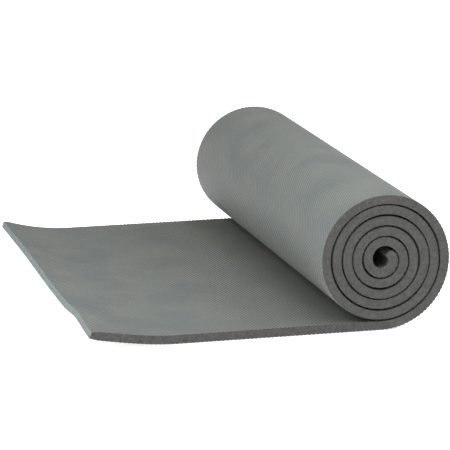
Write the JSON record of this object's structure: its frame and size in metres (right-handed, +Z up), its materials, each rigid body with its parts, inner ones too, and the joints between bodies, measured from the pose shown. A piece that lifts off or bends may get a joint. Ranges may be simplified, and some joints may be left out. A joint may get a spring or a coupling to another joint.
{
  "type": "foam sleeping pad",
  "caption": "Embossed closed-cell foam sleeping pad, partly rolled up, with a flat stretch whose free end curls up; it unrolls flat and rolls up fully.",
  "frame": {"origin": "on the floor under the middle of the floor strip, at the middle of the pad's width; the roll's axis stands over X = 13.25 mm", "axes": "+X along the pad, from the free end towards the roll; +Y across its width, along the roll's axis; +Z up"},
  "size_m": [0.4495, 0.61, 0.1709],
  "materials": {
    "foam_skin": "embossed matt skin on closed-cell foam"
  },
  "bodies": {
    "floor_strip": {"floor_strip": "foam_skin"},
    "flat_strip_1": {"flat_strip_1": "foam_skin"},
    "flat_strip_2": {"flat_strip_2": "foam_skin"},
    "flat_strip_3": {"flat_strip_3": "foam_skin"},
    "flat_strip_4": {"flat_strip_4": "foam_skin"},
    "flat_strip_5": {"flat_strip_5": "foam_skin"},
    "flat_strip_6": {"flat_strip_6": "foam_skin"},
    "flat_strip_7": {"flat_strip_7": "foam_skin"},
    "flat_strip_8": {"flat_strip_8": "foam_skin"},
    "flat_strip_9": {"flat_strip_9": "foam_skin"},
    "flat_strip_10": {"flat_strip_10": "foam_skin"},
    "roll_strip_01": {"roll_strip_01": "foam_skin"},
    "roll_strip_02": {"roll_strip_02": "foam_skin"},
    "roll_strip_03": {"roll_strip_03": "foam_skin"},
    "roll_strip_04": {"roll_strip_04": "foam_skin"},
    "roll_strip_05": {"roll_strip_05": "foam_skin"},
    "roll_strip_06": {"roll_strip_06": "foam_skin"},
    "roll_strip_07": {"roll_strip_07": "foam_skin"},
    "roll_strip_08": {"roll_strip_08": "foam_skin"},
    "roll_strip_09": {"roll_strip_09": "foam_skin"},
    "roll_strip_10": {"roll_strip_10": "foam_skin"},
    "roll_strip_11": {"roll_strip_11": "foam_skin"},
    "roll_strip_12": {"roll_strip_12": "foam_skin"},
    "roll_strip_13": {"roll_strip_13": "foam_skin"},
    "roll_strip_14": {"roll_strip_14": "foam_skin"},
    "roll_strip_15": {"roll_strip_15": "foam_skin"},
    "roll_strip_16": {"roll_strip_16": "foam_skin"},
    "roll_strip_17": {"roll_strip_17": "foam_skin"},
    "roll_strip_18": {"roll_strip_18": "foam_skin"},
    "roll_strip_19": {"roll_strip_19": "foam_skin"},
    "roll_strip_20": {"roll_strip_20": "foam_skin"},
    "roll_strip_21": {"roll_strip_21": "foam_skin"},
    "roll_strip_22": {"roll_strip_22": "foam_skin"},
    "roll_strip_23": {"roll_strip_23": "foam_skin"},
    "roll_strip_24": {"roll_strip_24": "foam_skin"},
    "roll_strip_25": {"roll_strip_25": "foam_skin"},
    "roll_strip_26": {"roll_strip_26": "foam_skin"},
    "roll_strip_27": {"roll_strip_27": "foam_skin"},
    "roll_strip_28": {"roll_strip_28": "foam_skin"},
    "roll_strip_29": {"roll_strip_29": "foam_skin"},
    "roll_strip_30": {"roll_strip_30": "foam_skin"},
    "roll_strip_31": {"roll_strip_31": "foam_skin"},
    "roll_strip_32": {"roll_strip_32": "foam_skin"},
    "roll_strip_33": {"roll_strip_33": "foam_skin"},
    "roll_strip_34": {"roll_strip_34": "foam_skin"},
    "roll_strip_35": {"roll_strip_35": "foam_skin"},
    "roll_strip_36": {"roll_strip_36": "foam_skin"},
    "roll_strip_37": {"roll_strip_37": "foam_skin"},
    "roll_strip_38": {"roll_strip_38": "foam_skin"},
    "roll_strip_39": {"roll_strip_39": "foam_skin"},
    "roll_strip_40": {"roll_strip_40": "foam_skin"},
    "roll_strip_41": {"roll_strip_41": "foam_skin"},
    "roll_strip_42": {"roll_strip_42": "foam_skin"},
    "roll_strip_43": {"roll_strip_43": "foam_skin"},
    "roll_strip_44": {"roll_strip_44": "foam_skin"},
    "roll_strip_45": {"roll_strip_45": "foam_skin"},
    "roll_strip_46": {"roll_strip_46": "foam_skin"},
    "roll_strip_47": {"roll_strip_47": "foam_skin"},
    "roll_strip_48": {"roll_strip_48": "foam_skin"},
    "roll_strip_49": {"roll_strip_49": "foam_skin"}
  },
  "joints": [
    {"name": "unroll", "type": "hinge", "parent": "floor_strip", "child": "roll_strip_01", "pos_m": [0.03327, 0, 0.00845], "axis": [0, 1, 0], "range_deg": [0, 30.44]},
    {"name": "unroll_hinge_02", "type": "hinge", "parent": "roll_strip_01", "child": "roll_strip_02", "pos_m": [0.06886, 0, 0.02891], "axis": [0, 1, 0], "range_deg": [-0.2, 28.66]},
    {"name": "unroll_hinge_03", "type": "hinge", "parent": "roll_strip_02", "child": "roll_strip_03", "pos_m": [0.08992, 0, 0.06384], "axis": [0, 1, 0], "range_deg": [-0.2, 29.41]},
    {"name": "unroll_hinge_04", "type": "hinge", "parent": "roll_strip_03", "child": "roll_strip_04", "pos_m": [0.09125, 0, 0.10432], "axis": [0, 1, 0], "range_deg": [-0.2, 29.61]},
    {"name": "unroll_hinge_05", "type": "hinge", "parent": "roll_strip_04", "child": "roll_strip_05", "pos_m": [0.07265, 0, 0.14], "axis": [0, 1, 0], "range_deg": [-0.2, 29.82]},
    {"name": "unroll_hinge_06", "type": "hinge", "parent": "roll_strip_05", "child": "roll_strip_06", "pos_m": [0.03909, 0, 0.16167], "axis": [0, 1, 0], "range_deg": [-0.2, 30.03]},
    {"name": "unroll_hinge_07", "type": "hinge", "parent": "roll_strip_06", "child": "roll_strip_07", "pos_m": [-0.00052, 0, 0.16376], "axis": [0, 1, 0], "range_deg": [-0.2, 30.25]},
    {"name": "unroll_hinge_08", "type": "hinge", "parent": "roll_strip_07", "child": "roll_strip_08", "pos_m": [-0.03559, 0, 0.14587], "axis": [0, 1, 0], "range_deg": [-0.2, 30.47]},
    {"name": "unroll_hinge_09", "type": "hinge", "parent": "roll_strip_08", "child": "roll_strip_09", "pos_m": [-0.05671, 0, 0.11298], "axis": [0, 1, 0], "range_deg": [-0.2, 30.7]},
    {"name": "unroll_hinge_10", "type": "hinge", "parent": "roll_strip_09", "child": "roll_strip_10", "pos_m": [-0.0582, 0, 0.07422], "axis": [0, 1, 0], "range_deg": [-0.2, 30.94]},
    {"name": "unroll_hinge_11", "type": "hinge", "parent": "roll_strip_10", "child": "roll_strip_11", "pos_m": [-0.03981, 0, 0.04042], "axis": [0, 1, 0], "range_deg": [-0.2, 31.19]},
    {"name": "unroll_hinge_12", "type": "hinge", "parent": "roll_strip_11", "child": "roll_strip_12", "pos_m": [-0.00691, 0, 0.02106], "axis": [0, 1, 0], "range_deg": [-0.2, 31.44]},
    {"name": "unroll_hinge_13", "type": "hinge", "parent": "roll_strip_12", "child": "roll_strip_13", "pos_m": [0.03095, 0, 0.02157], "axis": [0, 1, 0], "range_deg": [-0.2, 31.7]},
    {"name": "unroll_hinge_14", "type": "hinge", "parent": "roll_strip_13", "child": "roll_strip_14", "pos_m": [0.06269, 0, 0.04161], "axis": [0, 1, 0], "range_deg": [-0.2, 31.97]},
    {"name": "unroll_hinge_15", "type": "hinge", "parent": "roll_strip_14", "child": "roll_strip_15", "pos_m": [0.07898, 0, 0.07508], "axis": [0, 1, 0], "range_deg": [-0.2, 32.26]},
    {"name": "unroll_hinge_16", "type": "hinge", "parent": "roll_strip_15", "child": "roll_strip_16", "pos_m": [0.07506, 0, 0.11176], "axis": [0, 1, 0], "range_deg": [-0.2, 32.55]},
    {"name": "unroll_hinge_17", "type": "hinge", "parent": "roll_strip_16", "child": "roll_strip_17", "pos_m": [0.05233, 0, 0.14039], "axis": [0, 1, 0], "range_deg": [-0.2, 32.85]},
    {"name": "unroll_hinge_18", "type": "hinge", "parent": "roll_strip_17", "child": "roll_strip_18", "pos_m": [0.01807, 0, 0.15212], "axis": [0, 1, 0], "range_deg": [-0.2, 33.16]},
    {"name": "unroll_hinge_19", "type": "hinge", "parent": "roll_strip_18", "child": "roll_strip_19", "pos_m": [-0.01672, 0, 0.14341], "axis": [0, 1, 0], "range_deg": [-0.2, 33.49]},
    {"name": "unroll_hinge_20", "type": "hinge", "parent": "roll_strip_19", "child": "roll_strip_20", "pos_m": [-0.04079, 0, 0.11729], "axis": [0, 1, 0], "range_deg": [-0.2, 33.83]},
    {"name": "unroll_hinge_21", "type": "hinge", "parent": "roll_strip_20", "child": "roll_strip_21", "pos_m": [-0.0463, 0, 0.08257], "axis": [0, 1, 0], "range_deg": [-0.2, 34.18]},
    {"name": "unroll_hinge_22", "type": "hinge", "parent": "roll_strip_21", "child": "roll_strip_22", "pos_m": [-0.03162, 0, 0.05104], "axis": [0, 1, 0], "range_deg": [-0.2, 34.55]},
    {"name": "unroll_hinge_23", "type": "hinge", "parent": "roll_strip_22", "child": "roll_strip_23", "pos_m": [-0.00203, 0, 0.03348], "axis": [0, 1, 0], "range_deg": [-0.2, 34.94]},
    {"name": "unroll_hinge_24", "type": "hinge", "parent": "roll_strip_23", "child": "roll_strip_24", "pos_m": [0.0319, 0, 0.03589], "axis": [0, 1, 0], "range_deg": [-0.2, 35.34]},
    {"name": "unroll_hinge_25", "type": "hinge", "parent": "roll_strip_24", "child": "roll_strip_25", "pos_m": [0.05796, 0, 0.05714], "axis": [0, 1, 0], "range_deg": [-0.2, 35.77]},
    {"name": "unroll_hinge_26", "type": "hinge", "parent": "roll_strip_25", "child": "roll_strip_26", "pos_m": [0.06669, 0, 0.08919], "axis": [0, 1, 0], "range_deg": [-0.2, 36.21]},
    {"name": "unroll_hinge_27", "type": "hinge", "parent": "roll_strip_26", "child": "roll_strip_27", "pos_m": [0.05505, 0, 0.11986], "axis": [0, 1, 0], "range_deg": [-0.2, 36.68]},
    {"name": "unroll_hinge_28", "type": "hinge", "parent": "roll_strip_27", "child": "roll_strip_28", "pos_m": [0.02782, 0, 0.13738], "axis": [0, 1, 0], "range_deg": [-0.2, 37.17]},
    {"name": "unroll_hinge_29", "type": "hinge", "parent": "roll_strip_28", "child": "roll_strip_29", "pos_m": [-0.00404, 0, 0.13502], "axis": [0, 1, 0], "range_deg": [-0.2, 37.69]},
    {"name": "unroll_hinge_30", "type": "hinge", "parent": "roll_strip_29", "child": "roll_strip_30", "pos_m": [-0.02754, 0, 0.11406], "axis": [0, 1, 0], "range_deg": [-0.2, 38.25]},
    {"name": "unroll_hinge_31", "type": "hinge", "parent": "roll_strip_30", "child": "roll_strip_31", "pos_m": [-0.03306, 0, 0.08352], "axis": [0, 1, 0], "range_deg": [-0.2, 38.83]},
    {"name": "unroll_hinge_32", "type": "hinge", "parent": "roll_strip_31", "child": "roll_strip_32", "pos_m": [-0.01852, 0, 0.05664], "axis": [0, 1, 0], "range_deg": [-0.2, 39.46]},
    {"name": "unroll_hinge_33", "type": "hinge", "parent": "roll_strip_32", "child": "roll_strip_33", "pos_m": [0.00928, 0, 0.04521], "axis": [0, 1, 0], "range_deg": [-0.2, 40.12]},
    {"name": "unroll_hinge_34", "type": "hinge", "parent": "roll_strip_33", "child": "roll_strip_34", "pos_m": [0.03746, 0, 0.05414], "axis": [0, 1, 0], "range_deg": [-0.2, 40.84]},
    {"name": "unroll_hinge_35", "type": "hinge", "parent": "roll_strip_34", "child": "roll_strip_35", "pos_m": [0.05275, 0, 0.07881], "axis": [0, 1, 0], "range_deg": [-0.2, 41.6]},
    {"name": "unroll_hinge_36", "type": "hinge", "parent": "roll_strip_35", "child": "roll_strip_36", "pos_m": [0.048, 0, 0.1069], "axis": [0, 1, 0], "range_deg": [-0.2, 42.43]},
    {"name": "unroll_hinge_37", "type": "hinge", "parent": "roll_strip_36", "child": "roll_strip_37", "pos_m": [0.02604, 0, 0.12414], "axis": [0, 1, 0], "range_deg": [-0.2, 43.34]},
    {"name": "unroll_hinge_38", "type": "hinge", "parent": "roll_strip_37", "child": "roll_strip_38", "pos_m": [-0.00118, 0, 0.12177], "axis": [0, 1, 0], "range_deg": [-0.2, 44.32]},
    {"name": "unroll_hinge_39", "type": "hinge", "parent": "roll_strip_38", "child": "roll_strip_39", "pos_m": [-0.01867, 0, 0.10158], "axis": [0, 1, 0], "range_deg": [-0.2, 45.4]},
    {"name": "unroll_hinge_40", "type": "hinge", "parent": "roll_strip_39", "child": "roll_strip_40", "pos_m": [-0.01671, 0, 0.0756], "axis": [0, 1, 0], "range_deg": [-0.2, 46.59]},
    {"name": "unroll_hinge_41", "type": "hinge", "parent": "roll_strip_40", "child": "roll_strip_41", "pos_m": [0.00292, 0, 0.05952], "axis": [0, 1, 0], "range_deg": [-0.2, 47.92]},
    {"name": "unroll_hinge_42", "type": "hinge", "parent": "roll_strip_41", "child": "roll_strip_42", "pos_m": [0.02731, 0, 0.06313], "axis": [0, 1, 0], "range_deg": [-0.2, 49.42]},
    {"name": "unroll_hinge_43", "type": "hinge", "parent": "roll_strip_42", "child": "roll_strip_43", "pos_m": [0.0401, 0, 0.08331], "axis": [0, 1, 0], "range_deg": [-0.2, 51.13]},
    {"name": "unroll_hinge_44", "type": "hinge", "parent": "roll_strip_43", "child": "roll_strip_44", "pos_m": [0.03275, 0, 0.10518], "axis": [0, 1, 0], "range_deg": [-0.2, 53.11]},
    {"name": "unroll_hinge_45", "type": "hinge", "parent": "roll_strip_44", "child": "roll_strip_45", "pos_m": [0.01171, 0, 0.11223], "axis": [0, 1, 0], "range_deg": [-0.2, 55.43]},
    {"name": "unroll_hinge_46", "type": "hinge", "parent": "roll_strip_45", "child": "roll_strip_46", "pos_m": [-0.00531, 0, 0.09953], "axis": [0, 1, 0], "range_deg": [-0.2, 58.23]},
    {"name": "unroll_hinge_47", "type": "hinge", "parent": "roll_strip_46", "child": "roll_strip_47", "pos_m": [-0.00364, 0, 0.07942], "axis": [0, 1, 0], "range_deg": [-0.2, 61.7]},
    {"name": "unroll_hinge_48", "type": "hinge", "parent": "roll_strip_47", "child": "roll_strip_48", "pos_m": [0.01375, 0, 0.07177], "axis": [0, 1, 0], "range_deg": [-0.2, 69.45]},
    {"name": "unroll_hinge_49", "type": "hinge", "parent": "roll_strip_48", "child": "roll_strip_49", "pos_m": [0.02683, 0, 0.08364], "axis": [0, 1, 0], "range_deg": [-0.2, 61.4]},
    {"name": "roll_up", "type": "hinge", "parent": "floor_strip", "child": "flat_strip_1", "pos_m": [-0.01325, 0, 0.00635], "axis": [0, 1, 0], "range_deg": [0, 31.75]},
    {"name": "roll_up_hinge_2", "type": "hinge", "parent": "flat_strip_1", "child": "flat_strip_2", "pos_m": [-0.047, 0, 0.00635], "axis": [0, 1, 0], "range_deg": [-0.2, 15.08]},
    {"name": "roll_up_hinge_3", "type": "hinge", "parent": "flat_strip_2", "child": "flat_strip_3", "pos_m": [-0.08075, 0, 0.00635], "axis": [0, 1, 0], "range_deg": [-0.2, 29.94]},
    {"name": "roll_up_hinge_4", "type": "hinge", "parent": "flat_strip_3", "child": "flat_strip_4", "pos_m": [-0.1145, 0, 0.00635], "axis": [0, 1, 0], "range_deg": [-0.2, 14.98]},
    {"name": "roll_up_hinge_5", "type": "hinge", "parent": "flat_strip_4", "child": "flat_strip_5", "pos_m": [-0.14825, 0, 0.00635], "axis": [0, 1, 0], "range_deg": [-0.2, 29.48]},
    {"name": "roll_up_hinge_6", "type": "hinge", "parent": "flat_strip_5", "child": "flat_strip_6", "pos_m": [-0.182, 0, 0.00635], "axis": [0, 1, 0], "range_deg": [-0.2, 14.6]},
    {"name": "roll_up_hinge_7", "type": "hinge", "parent": "flat_strip_6", "child": "flat_strip_7", "pos_m": [-0.21575, 0, 0.00635], "axis": [0, 1, 0], "range_deg": [-0.2, 29.06]},
    {"name": "roll_up_hinge_8", "type": "hinge", "parent": "flat_strip_7", "child": "flat_strip_8", "pos_m": [-0.2495, 0, 0.00636], "axis": [0, 1, 0], "range_deg": [-0.2, 10.43]},
    {"name": "roll_up_hinge_9", "type": "hinge", "parent": "flat_strip_8", "child": "flat_strip_9", "pos_m": [-0.28316, 0, 0.00861], "axis": [0, 1, 0], "range_deg": [-0.2, 22.13]},
    {"name": "roll_up_hinge_10", "type": "hinge", "parent": "flat_strip_9", "child": "flat_strip_10", "pos_m": [-0.31633, 0, 0.0147], "axis": [0, 1, 0], "range_deg": [-0.2, 7.31]}
  ],
  "couplings": [
    {"joint": "unroll_hinge_02", "follows": "unroll", "ratio": 0.93502},
    {"joint": "unroll_hinge_03", "follows": "unroll", "ratio": 0.95958},
    {"joint": "unroll_hinge_04", "follows": "unroll", "ratio": 0.96615},
    {"joint": "unroll_hinge_05", "follows": "unroll", "ratio": 0.9729},
    {"joint": "unroll_hinge_06", "follows": "unroll", "ratio": 0.97985},
    {"joint": "unroll_hinge_07", "follows": "unroll", "ratio": 0.987},
    {"joint": "unroll_hinge_08", "follows": "unroll", "ratio": 0.99437},
    {"joint": "unroll_hinge_09", "follows": "unroll", "ratio": 1.0019},
    {"joint": "unroll_hinge_10", "follows": "unroll", "ratio": 1.0098},
    {"joint": "unroll_hinge_11", "follows": "unroll", "ratio": 1.0179},
    {"joint": "unroll_hinge_12", "follows": "unroll", "ratio": 1.0262},
    {"joint": "unroll_hinge_13", "follows": "unroll", "ratio": 1.0348},
    {"joint": "unroll_hinge_14", "follows": "unroll", "ratio": 1.0437},
    {"joint": "unroll_hinge_15", "follows": "unroll", "ratio": 1.053},
    {"joint": "unroll_hinge_16", "follows": "unroll", "ratio": 1.0626},
    {"joint": "unroll_hinge_17", "follows": "unroll", "ratio": 1.0725},
    {"joint": "unroll_hinge_18", "follows": "unroll", "ratio": 1.0828},
    {"joint": "unroll_hinge_19", "follows": "unroll", "ratio": 1.0935},
    {"joint": "unroll_hinge_20", "follows": "unroll", "ratio": 1.1047},
    {"joint": "unroll_hinge_21", "follows": "unroll", "ratio": 1.1163},
    {"joint": "unroll_hinge_22", "follows": "unroll", "ratio": 1.1284},
    {"joint": "unroll_hinge_23", "follows": "unroll", "ratio": 1.1411},
    {"joint": "unroll_hinge_24", "follows": "unroll", "ratio": 1.1544},
    {"joint": "unroll_hinge_25", "follows": "unroll", "ratio": 1.1683},
    {"joint": "unroll_hinge_26", "follows": "unroll", "ratio": 1.1829},
    {"joint": "unroll_hinge_27", "follows": "unroll", "ratio": 1.1983},
    {"joint": "unroll_hinge_28", "follows": "unroll", "ratio": 1.2145},
    {"joint": "unroll_hinge_29", "follows": "unroll", "ratio": 1.2316},
    {"joint": "unroll_hinge_30", "follows": "unroll", "ratio": 1.2497},
    {"joint": "unroll_hinge_31", "follows": "unroll", "ratio": 1.269},
    {"joint": "unroll_hinge_32", "follows": "unroll", "ratio": 1.2895},
    {"joint": "unroll_hinge_33", "follows": "unroll", "ratio": 1.3114},
    {"joint": "unroll_hinge_34", "follows": "unroll", "ratio": 1.3348},
    {"joint": "unroll_hinge_35", "follows": "unroll", "ratio": 1.3601},
    {"joint": "unroll_hinge_36", "follows": "unroll", "ratio": 1.3873},
    {"joint": "unroll_hinge_37", "follows": "unroll", "ratio": 1.4169},
    {"joint": "unroll_hinge_38", "follows": "unroll", "ratio": 1.4492},
    {"joint": "unroll_hinge_39", "follows": "unroll", "ratio": 1.4847},
    {"joint": "unroll_hinge_40", "follows": "unroll", "ratio": 1.5239},
    {"joint": "unroll_hinge_41", "follows": "unroll", "ratio": 1.5677},
    {"joint": "unroll_hinge_42", "follows": "unroll", "ratio": 1.6169},
    {"joint": "unroll_hinge_43", "follows": "unroll", "ratio": 1.6731},
    {"joint": "unroll_hinge_44", "follows": "unroll", "ratio": 1.738},
    {"joint": "unroll_hinge_45", "follows": "unroll", "ratio": 1.8143},
    {"joint": "unroll_hinge_46", "follows": "unroll", "ratio": 1.9062},
    {"joint": "unroll_hinge_47", "follows": "unroll", "ratio": 2.0202},
    {"joint": "unroll_hinge_48", "follows": "unroll", "ratio": 2.2748},
    {"joint": "unroll_hinge_49", "follows": "unroll", "ratio": 2.0103},
    {"joint": "roll_up_hinge_2", "follows": "roll_up", "ratio": 0.46867},
    {"joint": "roll_up_hinge_3", "follows": "roll_up", "ratio": 0.93652},
    {"joint": "roll_up_hinge_4", "follows": "roll_up", "ratio": 0.46559},
    {"joint": "roll_up_hinge_5", "follows": "roll_up", "ratio": 0.92212},
    {"joint": "roll_up_hinge_6", "follows": "roll_up", "ratio": 0.4536},
    {"joint": "roll_up_hinge_7", "follows": "roll_up", "ratio": 0.9089},
    {"joint": "roll_up_hinge_8", "follows": "roll_up", "ratio": 0.32226},
    {"joint": "roll_up_hinge_9", "follows": "roll_up", "ratio": 0.69058},
    {"joint": "roll_up_hinge_10", "follows": "roll_up", "ratio": 0.22388}
  ]
}
